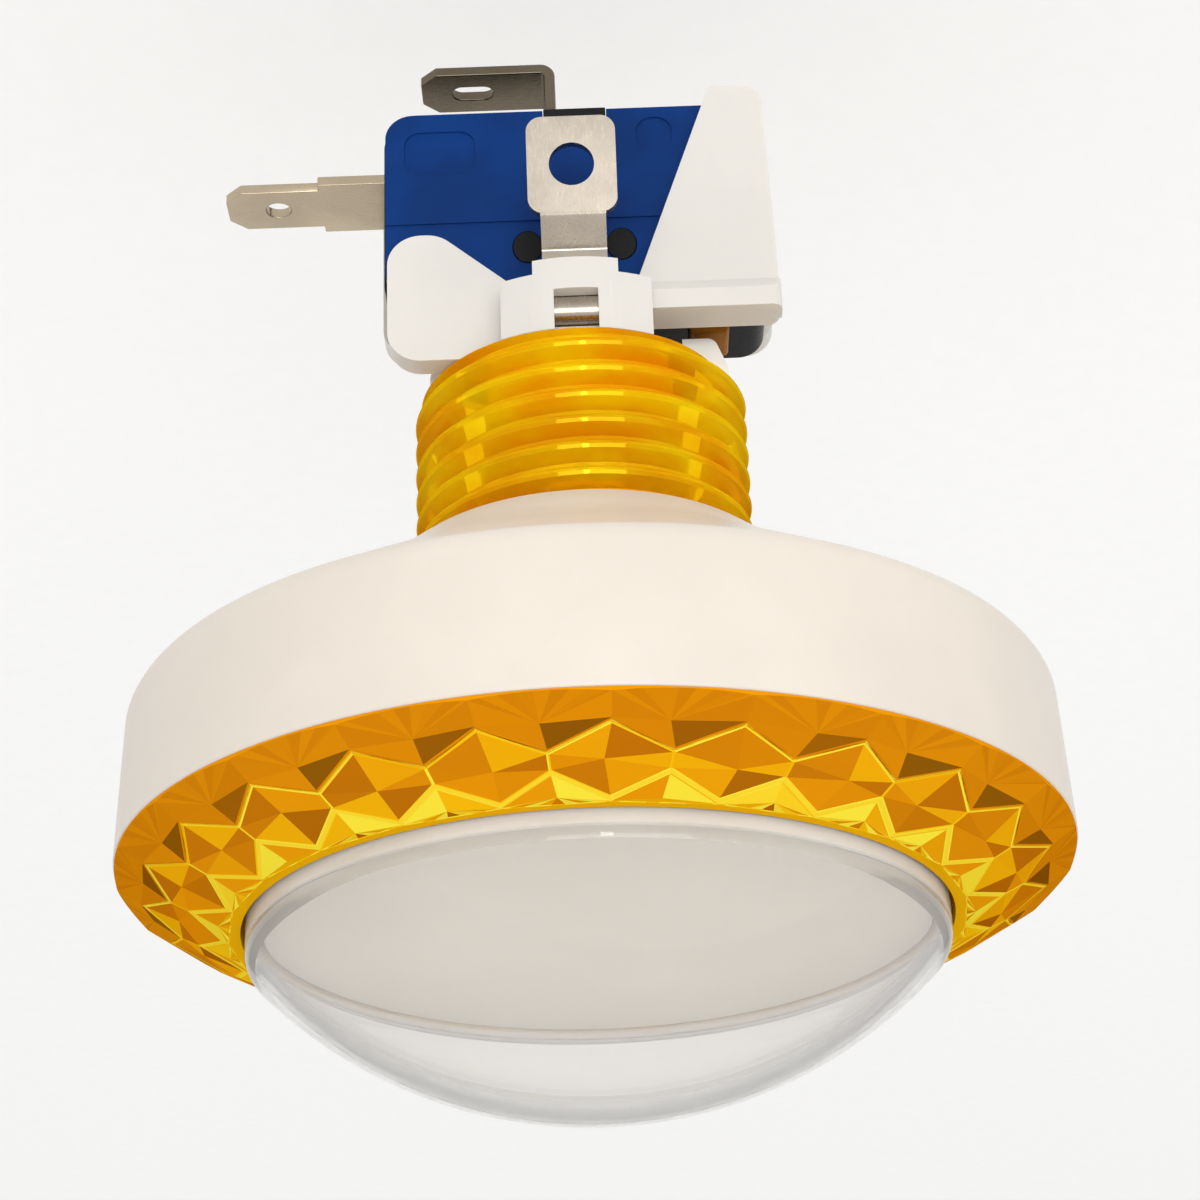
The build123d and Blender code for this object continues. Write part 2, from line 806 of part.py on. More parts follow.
# Switch pin: sliding button of the switch, with a collar that keeps it in
pin_inner = blade_top + pin_travel + holder_gap
collar_top = switch_face - case_wall - seat_gap
with BuildPart() as switch_pin:
    on_axis_box(
        pin_x - pin_width / 2,
        pin_x + pin_width / 2,
        -pin_depth / 2,
        pin_depth / 2,
        pin_inner,
        pin_tip,
    )
    fillet(switch_pin.edges().group_by(Axis.Z)[-1], pin_collar)
    with Locations((pin_x, 0, collar_top - pin_collar_height / 2)):
        Box(pin_width + 2 * pin_collar, pin_depth + 2 * pin_collar, pin_collar_height)
switch_pin.part.label = "switch_pin"
export_step(switch_pin.part, "parts/switch_pin.step")

# Contact arm with a rolled heel and an arched tongue, and its rivet
with BuildPart() as switch_blade:
    with BuildSketch(Plane.XY.offset(blade_under)):
        with Locations(((com_anchor_x + blade_tip_x) / 2, 0)):
            Rectangle(blade_tip_x - com_anchor_x, blade_width)
        with Locations(((tongue_start + tongue_end) / 2, 0)):
            Rectangle(
                tongue_end - tongue_start, tongue_width + blade_thickness, mode=Mode.SUBTRACT
            )
    extrude(amount=blade_thickness)
    with BuildSketch(Plane.XZ):
        with BuildLine():
            ThreePointArc(
                (tongue_start - blade_thickness, blade_middle),
                ((tongue_start + tongue_end) / 2, blade_middle + tongue_rise),
                (tongue_end + blade_thickness, blade_middle),
            )
        trace(line_width=blade_thickness)
    extrude(amount=tongue_width / 2, both=True)
    with BuildSketch(Plane.XZ):
        with Locations((com_anchor_x, blade_middle)):
            Circle(blade_heel_radius)
    extrude(amount=blade_width / 2, both=True)
switch_blade.part.label = "switch_blade"
export_step(switch_blade.part, "parts/switch_blade.step")

with BuildPart() as moving_contact:
    with BuildSketch(Plane.XY.offset(blade_under)):
        with Locations((contact_x, 0)):
            Circle(contact_radius)
    extrude(amount=-contact_height)
moving_contact.part.label = "moving_contact"
export_step(moving_contact.part, "parts/moving_contact.step")

with BuildPart() as fixed_contact:
    with BuildSketch(Plane.XY.offset(fixed_face)):
        with Locations((contact_x, 0)):
            Circle(contact_radius)
    extrude(amount=-contact_height)
fixed_contact.part.label = "fixed_contact"
export_step(fixed_contact.part, "parts/fixed_contact.step")

# Common terminal: slotted tab, riser through the rear wall and anchor of the arm
with BuildPart() as com_terminal:
    riser_foot = switch_rear - seat_gap
    with BuildSketch(Plane.XZ):
        with BuildLine():
            FilletPolyline(
                (com_tip_x, com_tab_z),
                (com_riser_x, com_tab_z),
                (com_riser_x, riser_foot),
                radius=bend_radius,
            )
        trace(line_width=tab_thickness)
    extrude(amount=tab_width / 2, both=True)
    chamfer(com_terminal.edges().filter_by(Axis.Z).group_by(Axis.X)[-1], tip_chamfer)
    with BuildSketch(Plane.XY.offset(com_tab_z)):
        with Locations((com_slot_x, 0)):
            SlotOverall(*com_slot_size)
    extrude(amount=tab_thickness, both=True, mode=Mode.SUBTRACT)
    with BuildSketch(Plane.XZ):
        with BuildLine():
            FilletPolyline(
                (com_riser_x, riser_foot - tab_thickness),
                (com_riser_x, com_run_z),
                (com_anchor_x, com_run_z),
                (com_anchor_x, blade_middle - blade_heel_radius - seat_gap),
                radius=bend_radius,
            )
        trace(line_width=tab_thickness)
    extrude(amount=inner_width / 2, both=True)
com_terminal.part.label = "com_terminal"
export_step(com_terminal.part, "parts/com_terminal.step")

# Normally open terminal: flat, stepped, with a round hole
with BuildPart() as no_terminal:
    with BuildSketch(Plane.XY.offset(no_z - tab_thickness / 2)) as no_outline:
        with Locations(((no_inner_x + no_tip_x) / 2, 0)):
            Rectangle(no_tip_x - no_inner_x, tab_width)
        chamfer(no_outline.vertices().group_by(Axis.X)[-1], tip_chamfer)
        root_start = half_length - case_wall + terminal_gap
        with Locations(((root_start + no_step_x) / 2, 0)):
            Rectangle(no_step_x - root_start, root_width)
        with Locations((no_hole_x, 0)):
            Circle(no_hole_radius, mode=Mode.SUBTRACT)
    extrude(amount=tab_thickness)
no_terminal.part.label = "no_terminal"
export_step(no_terminal.part, "parts/no_terminal.step")
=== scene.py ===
"""Illuminated arcade push button: the looks, laid out as an add-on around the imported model.

The CAD model is loaded as a fixed frame in metres, +Z out of the panel through the dome. Each operator
builds one piece or a group of like pieces from bmesh operators, gives it a procedural material and lets
it ride on its body.
"""

from math import asin, atan, atan2, cos, pi, radians, sin, sqrt

import bmesh
import bpy
from bpy.props import FloatProperty, FloatVectorProperty, IntProperty, PointerProperty
from bpy.types import Operator, Panel, PropertyGroup
from mathutils import Matrix, Vector


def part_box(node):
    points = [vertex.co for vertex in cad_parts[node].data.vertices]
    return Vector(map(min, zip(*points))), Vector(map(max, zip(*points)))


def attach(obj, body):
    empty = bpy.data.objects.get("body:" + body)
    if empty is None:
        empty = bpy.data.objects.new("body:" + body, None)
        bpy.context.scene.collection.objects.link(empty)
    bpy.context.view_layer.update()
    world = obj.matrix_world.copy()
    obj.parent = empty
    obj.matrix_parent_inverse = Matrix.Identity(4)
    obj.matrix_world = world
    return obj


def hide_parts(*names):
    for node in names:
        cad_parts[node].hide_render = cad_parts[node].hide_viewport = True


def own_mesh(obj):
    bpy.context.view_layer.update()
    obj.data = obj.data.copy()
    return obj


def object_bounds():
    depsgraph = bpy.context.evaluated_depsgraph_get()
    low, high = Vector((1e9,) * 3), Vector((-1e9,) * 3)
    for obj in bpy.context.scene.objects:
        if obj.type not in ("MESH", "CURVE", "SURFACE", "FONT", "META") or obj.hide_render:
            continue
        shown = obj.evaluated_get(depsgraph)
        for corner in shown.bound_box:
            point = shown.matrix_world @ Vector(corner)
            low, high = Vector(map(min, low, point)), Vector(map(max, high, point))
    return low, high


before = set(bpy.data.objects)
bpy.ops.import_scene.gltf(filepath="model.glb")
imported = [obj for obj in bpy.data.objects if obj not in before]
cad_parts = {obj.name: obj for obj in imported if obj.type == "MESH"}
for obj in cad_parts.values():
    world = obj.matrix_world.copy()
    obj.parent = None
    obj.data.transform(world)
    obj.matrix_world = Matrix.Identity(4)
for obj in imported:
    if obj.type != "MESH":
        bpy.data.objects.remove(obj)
cad_low, cad_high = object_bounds()

bl_info = {
    "name": "Arcade Push Button",
    "version": (1, 0, 0),
    "blender": (4, 5, 0),
    "location": "View3D > Sidebar > Push Button",
    "description": "Builds the pieces, finishes and studio of an illuminated arcade push button",
    "category": "Add Mesh",
}

MM = 0.001
Z_AXIS = Vector((0, 0, 1))
GIRDLE_LEAN = radians(29.3)
KITE_LEAN = radians(23.9)


def node_box(node):
    """Lowest and highest corner of a CAD node."""
    low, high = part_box(node)
    return Vector(low), Vector(high)


CUP_LOW, CUP_HIGH = node_box("cup")
BEZEL_LOW, BEZEL_HIGH = node_box("bezel_body")
DOME_LOW, DOME_HIGH = node_box("dome_lens")
DISC_LOW, DISC_HIGH = node_box("legend_disc")
SPRING_LOW, SPRING_HIGH = node_box("return_spring")
LAMP_LOW, LAMP_HIGH = node_box("lamp")


class BezelSettings(PropertyGroup):
    """Sizes and colour of the amber bezel."""

    facets: IntProperty(
        name="Facets", description="Facets in each row of the crown", default=24, min=6, max=60
    )
    phase: FloatProperty(
        name="Phase", description="Turn of the crown about the axis", default=radians(-2.5), subtype="ANGLE"
    )
    girdle_width: FloatProperty(
        name="Girdle", description="Width of the outer row at the crown's points",
        default=1.7 * MM, unit="LENGTH",
    )
    edge_radius: FloatProperty(
        name="Edge", description="Rounding of the edges between facets", default=0.14 * MM, unit="LENGTH"
    )
    gem_relief: FloatProperty(
        name="Relief", description="Height of the low pyramid on each facet", default=0.12 * MM, unit="LENGTH"
    )
    thread_pitch: FloatProperty(
        name="Pitch", description="Pitch of the thread", default=2.0 * MM, unit="LENGTH"
    )
    thread_depth: FloatProperty(
        name="Depth", description="Depth of the thread", default=1.1 * MM, unit="LENGTH"
    )
    tint: FloatVectorProperty(
        name="Tint", description="Colour that the barrel's wall lets through", default=(1.0, 0.64, 0.002),
        subtype="COLOR", size=3, min=0, max=1,
    )


class CupSettings(PropertyGroup):
    """Colour and finish of the white cup."""

    colour: FloatVectorProperty(
        name="Colour", description="White of the cup", default=(0.66, 0.60, 0.53),
        subtype="COLOR", size=3, min=0, max=1,
    )
    gloss: FloatProperty(
        name="Roughness", description="Least roughness of the moulding", default=0.3, min=0, max=1
    )


class CapSettings(PropertyGroup):
    """Sizes and colours of the dome and the disc below it."""

    wall: FloatProperty(name="Wall", description="Wall of the dome", default=1.5 * MM, unit="LENGTH")
    rim: FloatProperty(
        name="Rim", description="Height of the rim line", default=28.4 * MM, unit="LENGTH"
    )
    rim_radius: FloatProperty(
        name="Rim radius", description="Rounding of the dome's rim", default=0.45 * MM, unit="LENGTH"
    )
    groove: FloatProperty(
        name="Groove", description="Width of the fine line below the rim", default=0.24 * MM, unit="LENGTH"
    )
    disc_colour: FloatVectorProperty(
        name="Disc", description="White of the disc", default=(0.91, 0.845, 0.765),
        subtype="COLOR", size=3, min=0, max=1,
    )


class CarrierSettings(PropertyGroup):
    """Colours of the plunger, the spring and the lamp."""

    nylon: FloatVectorProperty(
        name="Nylon", description="White of the plunger and the lamp holder", default=(0.645, 0.622, 0.585),
        subtype="COLOR", size=3, min=0, max=1,
    )
    wire: FloatProperty(
        name="Wire", description="Wire of the return spring", default=0.9 * MM, unit="LENGTH"
    )
    turns: IntProperty(name="Turns", description="Turns of the return spring", default=5, min=2)
    edge: FloatProperty(
        name="Edge", description="Rounding of moulded edges", default=0.55 * MM, unit="LENGTH"
    )


class SwitchSettings(PropertyGroup):
    """Colours of the switch and of the metal tabs."""

    blue: FloatVectorProperty(
        name="Cover", description="Blue of the switch's cover", default=(0.0006, 0.028, 0.15),
        subtype="COLOR", size=3, min=0, max=1,
    )
    black: FloatVectorProperty(
        name="Case", description="Black of the switch's case", default=(0.012, 0.012, 0.013),
        subtype="COLOR", size=3, min=0, max=1,
    )
    brown: FloatVectorProperty(
        name="Pin", description="Brown of the switch's pin", default=(0.27, 0.10, 0.005),
        subtype="COLOR", size=3, min=0, max=1,
    )
    plate: FloatVectorProperty(
        name="Plating", description="Colour of the lamp strips' plating", default=(0.43, 0.38, 0.32),
        subtype="COLOR", size=3, min=0, max=1,
    )
    aged_plate: FloatVectorProperty(
        name="Aged plating", description="Colour of the switch tabs' plating", default=(0.52, 0.43, 0.31),
        subtype="COLOR", size=3, min=0, max=1,
    )
    edge: FloatProperty(
        name="Edge", description="Rounding of the switch's edges", default=0.25 * MM, unit="LENGTH"
    )


class StageSettings(PropertyGroup):
    """Camera, floor and lights."""

    elevation: FloatProperty(
        name="Elevation", description="Camera's height angle over the panel's plane",
        default=radians(25.253), subtype="ANGLE",
    )
    roll: FloatProperty(
        name="Roll", description="Camera's turn about its own line of sight",
        default=radians(-2.084), subtype="ANGLE",
    )
    distance: FloatProperty(
        name="Distance", description="From the camera to its target", default=0.2, unit="LENGTH"
    )
    target: FloatVectorProperty(
        name="Target", description="Point that the camera looks at",
        default=(-0.894 * MM, 0.0, 1.952 * MM), subtype="TRANSLATION", size=3,
    )
    lens: FloatProperty(name="Lens", description="Focal length in millimetres", default=85.70)
    floor_gap: FloatProperty(
        name="Floor gap", description="From the lowest tab down to the floor",
        default=18.0 * MM, unit="LENGTH",
    )
    sky: FloatProperty(name="Sky", description="Strength of the ring of even light", default=1.08, min=0)
    key: FloatProperty(name="Key", description="Power of the key softbox in watts", default=2.4, min=0)
    strip: FloatProperty(name="Strip", description="Power of the strip light in watts", default=0.2, min=0)


def settings():
    """All settings of the add-on."""
    return bpy.context.scene.push_button


def nodes_of(name):
    """A new material's node tree with its surface shader and Object coordinates."""
    material = bpy.data.materials.new(name)
    material.use_nodes = True
    tree = material.node_tree
    tree.nodes.clear()
    output = tree.nodes.new("ShaderNodeOutputMaterial")
    shader = tree.nodes.new("ShaderNodeBsdfPrincipled")
    tree.links.new(shader.outputs["BSDF"], output.inputs["Surface"])
    place = tree.nodes.new("ShaderNodeTexCoord")
    return material, tree, shader, place, output


def noise(tree, place, scale, detail=3.0, stretch=(1, 1, 1)):
    """Noise on Object coordinates, stretched along the axes."""
    mapping = tree.nodes.new("ShaderNodeMapping")
    mapping.inputs["Scale"].default_value = stretch
    tree.links.new(place.outputs["Object"], mapping.inputs["Vector"])
    texture = tree.nodes.new("ShaderNodeTexNoise")
    texture.inputs["Scale"].default_value = scale
    texture.inputs["Detail"].default_value = detail
    tree.links.new(mapping.outputs["Vector"], texture.inputs["Vector"])
    return texture


def shade(tree, texture, dark, light, low=0.35, high=0.65):
    """A colour that wanders between two shades with a noise."""
    ramp = tree.nodes.new("ShaderNodeValToRGB")
    ramp.color_ramp.interpolation = "EASE"
    ramp.color_ramp.elements[0].position = low
    ramp.color_ramp.elements[0].color = (*dark, 1)
    ramp.color_ramp.elements[1].position = high
    ramp.color_ramp.elements[1].color = (*light, 1)
    tree.links.new(texture.outputs["Fac"], ramp.inputs["Fac"])
    return ramp.outputs["Color"]


def span(tree, texture, low, high):
    """A value that wanders between two limits with a noise."""
    remap = tree.nodes.new("ShaderNodeMapRange")
    remap.interpolation_type = "SMOOTHSTEP"
    remap.inputs["From Min"].default_value = 0.2
    remap.inputs["From Max"].default_value = 0.8
    remap.inputs["To Min"].default_value = low
    remap.inputs["To Max"].default_value = high
    tree.links.new(texture.outputs["Fac"], remap.inputs["Value"])
    return remap.outputs["Result"]


def relief(tree, shader, texture, strength, height):
    """Fine bump from a noise."""
    bump = tree.nodes.new("ShaderNodeBump")
    bump.inputs["Strength"].default_value = strength
    bump.inputs["Distance"].default_value = height
    tree.links.new(texture.outputs["Fac"], bump.inputs["Height"])
    tree.links.new(bump.outputs["Normal"], shader.inputs["Normal"])


def tone(colour, factor):
    """A colour made lighter or darker."""
    return tuple(min(1.0, channel * factor) for channel in colour)


def laid_over(tree, output, layer, weight):
    """Mixes one more layer into what the surface shows so far."""
    mix = tree.nodes.new("ShaderNodeMixShader")
    mix.inputs["Fac"].default_value = weight
    tree.links.new(output.inputs["Surface"].links[0].from_socket, mix.inputs[1])
    tree.links.new(layer.outputs["BSDF"], mix.inputs[2])
    tree.links.new(mix.outputs["Shader"], output.inputs["Surface"])


def amber_depth(tree, output, colour, weight):
    """Lets part of the light through, bent and coloured by the amber."""
    bend = tree.nodes.new("ShaderNodeBsdfRefraction")
    bend.inputs["IOR"].default_value = 1.3
    bend.inputs["Roughness"].default_value = 0.02
    tree.links.new(colour, bend.inputs["Color"])
    laid_over(tree, output, bend, weight)


def amber_gloss(tree, output, weight):
    """Adds amber-coloured reflections."""
    gloss = tree.nodes.new("ShaderNodeBsdfGlossy")
    gloss.inputs["Color"].default_value = (1.0, 0.68, 0.03, 1)
    gloss.inputs["Roughness"].default_value = 0.06
    laid_over(tree, output, gloss, weight)


def amber_crown():
    """Amber of the cut crown with painted sparkle: every sliver of a facet carries a painted tone between brown
    and yellow that stands in for the glints, reflections and shade of a cut gem.
    """
    material, tree, shader, place, output = nodes_of("amber_crown")
    painted_sparkle_read = tree.nodes.new("ShaderNodeAttribute")
    painted_sparkle_read.attribute_name = "tone"
    painted_sparkle_ramp = tree.nodes.new("ShaderNodeValToRGB")
    # Painted sparkle: the stops run from painted shadow brown through amber to painted glint yellow.
    stops = (
        (0.0, (0.12, 0.026, 0.0002)), (0.3, (0.5, 0.12, 0.0004)), (0.55, (0.82, 0.28, 0.0006)),
        (0.8, (1.0, 0.56, 0.002)), (1.0, (1.0, 0.84, 0.05)),
    )
    for position, colour in stops[1:-1]:
        painted_sparkle_ramp.color_ramp.elements.new(position)
    for element, (position, colour) in zip(painted_sparkle_ramp.color_ramp.elements, stops):
        element.position = position
        element.color = (*colour, 1)
    tree.links.new(painted_sparkle_read.outputs["Fac"], painted_sparkle_ramp.inputs["Fac"])
    tree.links.new(painted_sparkle_ramp.outputs["Color"], shader.inputs["Base Color"])
    shader.inputs["Specular IOR Level"].default_value = 0.0
    flow = noise(tree, place, 260.0, 2.0)
    tree.links.new(span(tree, flow, 0.03, 0.08), shader.inputs["Roughness"])
    amber_depth(tree, output, shade(tree, flow, (1.0, 0.5, 0.004), (1.0, 0.74, 0.02)), 0.2)
    amber_gloss(tree, output, 0.08)
    return material


def amber_barrel():
    """See-through amber of the barrel with streaks of orange round it."""
    red, green, blue = settings().bezel.tint
    material, tree, shader, place, output = nodes_of("amber_barrel")
    flow = noise(tree, place, 120.0, 3.0, (1, 1, 3.5))
    streaks = shade(tree, flow, (0.95 * red, 0.62 * green, 0.5 * blue), (red, green, blue))
    tree.links.new(streaks, shader.inputs["Base Color"])
    shader.inputs["Specular IOR Level"].default_value = 0.0
    tree.links.new(span(tree, flow, 0.1, 0.25), shader.inputs["Roughness"])
    amber_depth(tree, output, shade(tree, flow, (1.0, 0.6, 0.006), (1.0, 0.86, 0.02)), 0.42)
    amber_gloss(tree, output, 0.09)
    return material


def amber_bore():
    """Inner wall of the barrel, in optical contact with what lies behind it."""
    material, tree, shader, place, output = nodes_of("amber_bore")
    haze = noise(tree, place, 120.0, 2.0)
    tree.links.new(shade(tree, haze, (0.9, 0.5, 0.004), (1.0, 0.7, 0.01)), shader.inputs["Base Color"])
    shader.inputs["Roughness"].default_value = 0.2
    clear = tree.nodes.new("ShaderNodeBsdfTransparent")
    clear.inputs["Color"].default_value = (1.0, 0.95, 0.5, 1)
    laid_over(tree, output, clear, 0.94)
    return material


def clear_plastic():
    """Clear polished dome with a trace of warmth."""
    material, tree, shader, place, output = nodes_of("clear_plastic")
    shader.inputs["Base Color"].default_value = (0.985, 0.975, 0.96, 1)
    shader.inputs["Transmission Weight"].default_value = 1.0
    shader.inputs["IOR"].default_value = 1.35
    haze = noise(tree, place, 120.0, 2.0)
    tree.links.new(span(tree, haze, 0.0, 0.02), shader.inputs["Roughness"])
    veil = tree.nodes.new("ShaderNodeBsdfDiffuse")
    veil.inputs["Color"].default_value = (0.97, 0.94, 0.9, 1)
    laid_over(tree, output, veil, 0.1)
    return material


def cloudy_plastic():
    """Straight wall of the dome: clear, with a milky cast from its own thickness."""
    material, tree, shader, place, output = nodes_of("cloudy_plastic")
    streak = noise(tree, place, 90.0, 3.0, (1, 1, 9))
    cloud = shade(tree, streak, (0.90, 0.86, 0.80), (0.97, 0.95, 0.92))
    tree.links.new(cloud, shader.inputs["Base Color"])
    shader.inputs["Transmission Weight"].default_value = 0.5
    shader.inputs["IOR"].default_value = 1.35
    shader.inputs["Specular IOR Level"].default_value = 0.3
    tree.links.new(span(tree, streak, 0.05, 0.2), shader.inputs["Roughness"])
    return material


def moulded_white(name, colour, low, high, bleed):
    """White moulding: a soft sheen, faint mottling and light that bleeds a little below the skin."""
    material, tree, shader, place, output = nodes_of(name)
    mottle = noise(tree, place, 95.0, 4.0)
    tree.links.new(shade(tree, mottle, tone(colour, 0.975), tone(colour, 1.015)), shader.inputs["Base Color"])
    skin = noise(tree, place, 55.0, 2.0)
    tree.links.new(span(tree, skin, low, high), shader.inputs["Roughness"])
    shader.inputs["IOR"].default_value = 1.5
    shader.inputs["Subsurface Weight"].default_value = bleed
    shader.inputs["Subsurface Radius"].default_value = (1.0, 0.8, 0.55)
    shader.inputs["Subsurface Scale"].default_value = 1.2 * MM
    return material


def moulded_dark(name, colour, low, high, grain):
    """Dyed moulding with a fine spark-eroded grain."""
    material, tree, shader, place, output = nodes_of(name)
    mottle = noise(tree, place, 140.0, 3.0)
    tree.links.new(shade(tree, mottle, tone(colour, 0.85), tone(colour, 1.15)), shader.inputs["Base Color"])
    skin = noise(tree, place, 3800.0, 2.0)
    tree.links.new(span(tree, skin, low, high), shader.inputs["Roughness"])
    shader.inputs["Specular IOR Level"].default_value = 0.1
    relief(tree, shader, skin, grain, 0.03 * MM)
    return material


def plated_metal(name, colour, stretch):
    """Plated sheet: rolled streaks along the strip, cloudy tone and a soft shine."""
    material, tree, shader, place, output = nodes_of(name)
    shader.inputs["Metallic"].default_value = 1.0
    cloud = noise(tree, place, 170.0, 4.0)
    tree.links.new(shade(tree, cloud, tone(colour, 0.88), tone(colour, 1.06)), shader.inputs["Base Color"])
    streak = noise(tree, place, 900.0, 5.0, stretch)
    tree.links.new(span(tree, streak, 0.2, 0.3), shader.inputs["Roughness"])
    relief(tree, shader, streak, 0.05, 0.01 * MM)
    return material


def lamp_glass():
    """Clear thin glass of the bulb."""
    material, tree, shader, place, output = nodes_of("lamp_glass")
    shader.inputs["Base Color"].default_value = (0.97, 0.975, 0.97, 1)
    shader.inputs["Transmission Weight"].default_value = 1.0
    shader.inputs["IOR"].default_value = 1.5
    seed = noise(tree, place, 300.0, 2.0)
    tree.links.new(span(tree, seed, 0.0, 0.05), shader.inputs["Roughness"])
    return material


def profile_face(points):
    """A bmesh with one flat face from points (radius, height) in the XZ plane."""
    bm = bmesh.new()
    corners = [bm.verts.new((radius, 0.0, height)) for radius, height in points]
    bm.faces.new(corners)
    return bm, corners


def round_corners(bm, corners, radius, segments):
    """Rounds corners of a profile face."""
    bmesh.ops.bevel(
        bm, geom=corners, offset=radius, offset_type="OFFSET", segments=segments, profile=0.5,
        affect="VERTICES", material=-1, clamp_overlap=True,
    )


def turn_profile(bm, steps):
    """Spins the outline of a profile face a full turn about Z."""
    bmesh.ops.delete(bm, geom=bm.faces[:], context="FACES_ONLY")
    bmesh.ops.spin(
        bm, geom=bm.verts[:] + bm.edges[:], cent=(0, 0, 0), axis=Z_AXIS, dvec=(0, 0, 0),
        angle=2 * pi, steps=steps, use_merge=True,
    )
    close_mesh(bm)


def arc_down(bm, radius, centre, angle, steps):
    """Spins a vertex from the top of a circle in the XZ plane down its side, and returns the last one."""
    start = bm.verts.new((0.0, 0.0, centre + radius))
    turned = bmesh.ops.spin(
        bm, geom=[start], cent=(0, 0, centre), axis=(0, 1, 0), dvec=(0, 0, 0), angle=angle, steps=steps
    )
    return next(item for item in turned["geom_last"] if isinstance(item, bmesh.types.BMVert))


def close_mesh(bm):
    """Merges doubles, drops flat slivers and turns the faces outwards."""
    bmesh.ops.remove_doubles(bm, verts=bm.verts[:], dist=1e-7)
    bmesh.ops.dissolve_degenerate(bm, dist=1e-7, edges=bm.edges[:])
    loose = [edge for edge in bm.edges if not edge.link_faces]
    bmesh.ops.delete(bm, geom=loose, context="EDGES")
    bmesh.ops.recalc_face_normals(bm, faces=bm.faces[:])


def new_piece(name, bm, material, body, node, sharp=radians(28)):
    """Makes an object from a bmesh, shades it, gives it its material, parents it to its body and hides the CAD
    node it stands in for.
    """
    mesh = bpy.data.meshes.new(name)
    bm.to_mesh(mesh)
    bm.free()
    mesh.materials.append(material)
    mesh.polygons.foreach_set("use_smooth", [True] * len(mesh.polygons))
    mesh.set_sharp_from_angle(angle=sharp)
    piece = bpy.data.objects.new(name, mesh)
    bpy.context.scene.collection.objects.link(piece)
    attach(piece, body)
    if node:
        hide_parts(node)
    return piece


def softened_copy(node, name, material, body, width, segments=2):
    """A merged copy of a CAD node with rounded edges."""
    bm = bmesh.new()
    bm.from_mesh(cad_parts[node].data)
    bmesh.ops.remove_doubles(bm, verts=bm.verts[:], dist=2e-6)
    bmesh.ops.dissolve_limit(
        bm, angle_limit=radians(0.6), use_dissolve_boundaries=False, verts=bm.verts[:], edges=bm.edges[:]
    )
    piece = new_piece(name, bm, material, body, node)
    rounding = piece.modifiers.new("Rounded edges", "BEVEL")
    rounding.width = width
    rounding.segments = segments
    rounding.limit_method = "ANGLE"
    rounding.angle_limit = radians(35)
    rounding.harden_normals = True
    rounding.use_clamp_overlap = True
    return piece


def crown_planes(bezel, outer, inner, seat):
    """Cutting planes of the three rows of facets, as (point, normal)."""
    half = cos(pi / bezel.facets)
    top = seat + 4.05 * MM
    apex = outer - bezel.girdle_width
    apex_z = seat + 1.35 * MM
    width = outer - inner
    node = inner + 0.5 * width
    star = inner + 0.292 * width
    kite_slope = (top - apex_z) / (apex - inner)
    node_z = apex_z + kite_slope * (apex - node * half)
    star_z = apex_z + kite_slope * (apex - star * half)
    girdle_slope = (node_z - apex_z) / (apex * half - node)
    star_slope = (top - star_z) / (star - inner * half)
    rows = (
        (apex * half, apex_z, girdle_slope, 0.5),
        (apex, apex_z, kite_slope, 0.0),
        (star, star_z, star_slope, 0.5),
    )
    for radius, height, slope, offset in rows:
        lean = atan(slope)
        for number in range(bezel.facets):
            turn = bezel.phase - pi / 2 + 2 * pi * (number + offset) / bezel.facets
            out = Vector((cos(turn), sin(turn), 0))
            yield out * radius + Z_AXIS * height, out * sin(lean) + Z_AXIS * cos(lean)


